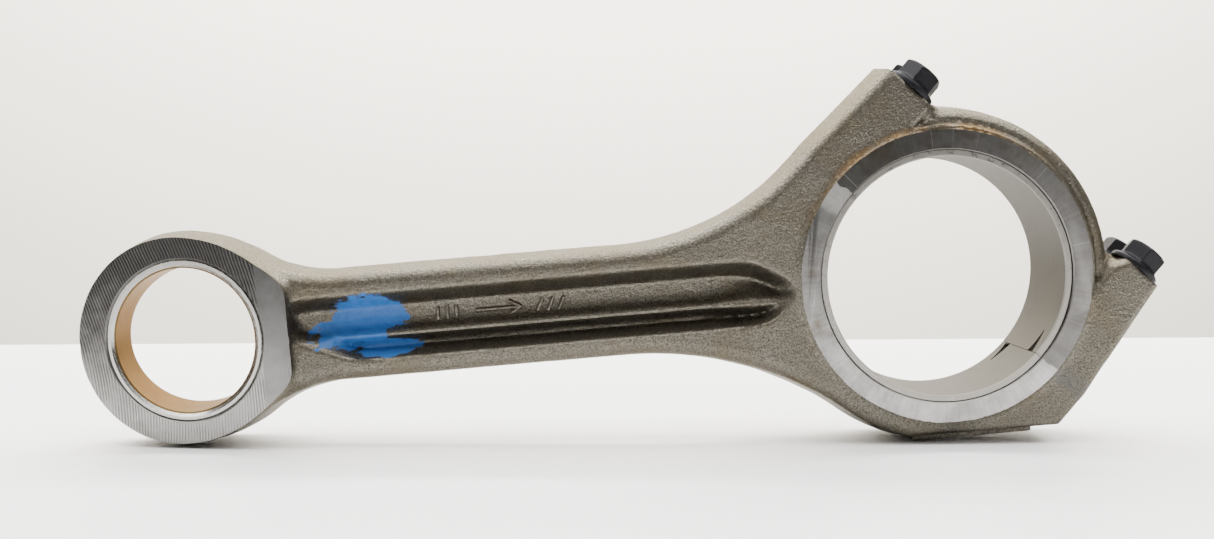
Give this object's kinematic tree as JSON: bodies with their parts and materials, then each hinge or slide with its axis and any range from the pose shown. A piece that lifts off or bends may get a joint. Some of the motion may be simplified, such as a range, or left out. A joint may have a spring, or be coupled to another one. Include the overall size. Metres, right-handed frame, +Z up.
{
  "type": "connecting rod",
  "caption": "Connecting rod with an oblique fracture-split big end, removable bearing cap, half-shell bearings, flange bolts and a tapered small end with a pressed bush.",
  "frame": {"origin": "centre of the crankpin bore, at mid-width", "axes": "+Y along the crankpin bore, from the marked side to the other; +X towards the big end; +Z up, with the rod lying on its small end and its balancing pad, so its axis climbs about five degrees towards +X"},
  "size_m": [0.4041, 0.04, 0.1423],
  "materials": {
    "forged_steel": "shot-blasted forging with machined faces",
    "shell_steel": "bright steel back",
    "shell_lining": "matte bearing lining",
    "bush_steel": "turned steel back",
    "bush_bronze": "bored bronze",
    "black_bolt": "black oxide"
  },
  "bodies": {
    "rod": {"rod_body": "forged_steel", "bush_back": "bush_steel", "bush_lining": "bush_bronze"},
    "cap": {"bearing_cap": "forged_steel"},
    "rod_shell": {"rod_shell_back": "shell_steel", "rod_shell_lining": "shell_lining"},
    "cap_shell": {"cap_shell_back": "shell_steel", "cap_shell_lining": "shell_lining"},
    "upper_front_bolt": {"bolt_upper_front": "black_bolt"},
    "upper_rear_bolt": {"bolt_upper_rear": "black_bolt"},
    "lower_front_bolt": {"bolt_lower_front": "black_bolt"},
    "lower_rear_bolt": {"bolt_lower_rear": "black_bolt"}
  },
  "joints": [
    {"name": "cap_lift", "type": "slide", "parent": "rod", "child": "cap", "axis": [0.648, 0, 0.7616], "range_m": [0, 0.1]},
    {"name": "cap_shell_lift", "type": "slide", "parent": "rod", "child": "cap_shell", "axis": [0.648, 0, 0.7616], "range_m": [0, 0.075]},
    {"name": "rod_shell_lift", "type": "slide", "parent": "rod", "child": "rod_shell", "axis": [0.648, 0, 0.7616], "range_m": [0, 0.05]},
    {"name": "upper_front_bolt_draw", "type": "slide", "parent": "cap", "child": "upper_front_bolt", "axis": [0.648, 0, 0.7616], "range_m": [0, 0.07]},
    {"name": "upper_rear_bolt_draw", "type": "slide", "parent": "cap", "child": "upper_rear_bolt", "axis": [0.648, 0, 0.7616], "range_m": [0, 0.07]},
    {"name": "lower_front_bolt_draw", "type": "slide", "parent": "cap", "child": "lower_front_bolt", "axis": [0.648, 0, 0.7616], "range_m": [0, 0.07]},
    {"name": "lower_rear_bolt_draw", "type": "slide", "parent": "cap", "child": "lower_rear_bolt", "axis": [0.648, 0, 0.7616], "range_m": [0, 0.07]}
  ],
  "couplings": [
    {"joint": "cap_shell_lift", "follows": "cap_lift", "ratio": 0.75},
    {"joint": "rod_shell_lift", "follows": "cap_lift", "ratio": 0.5}
  ]
}
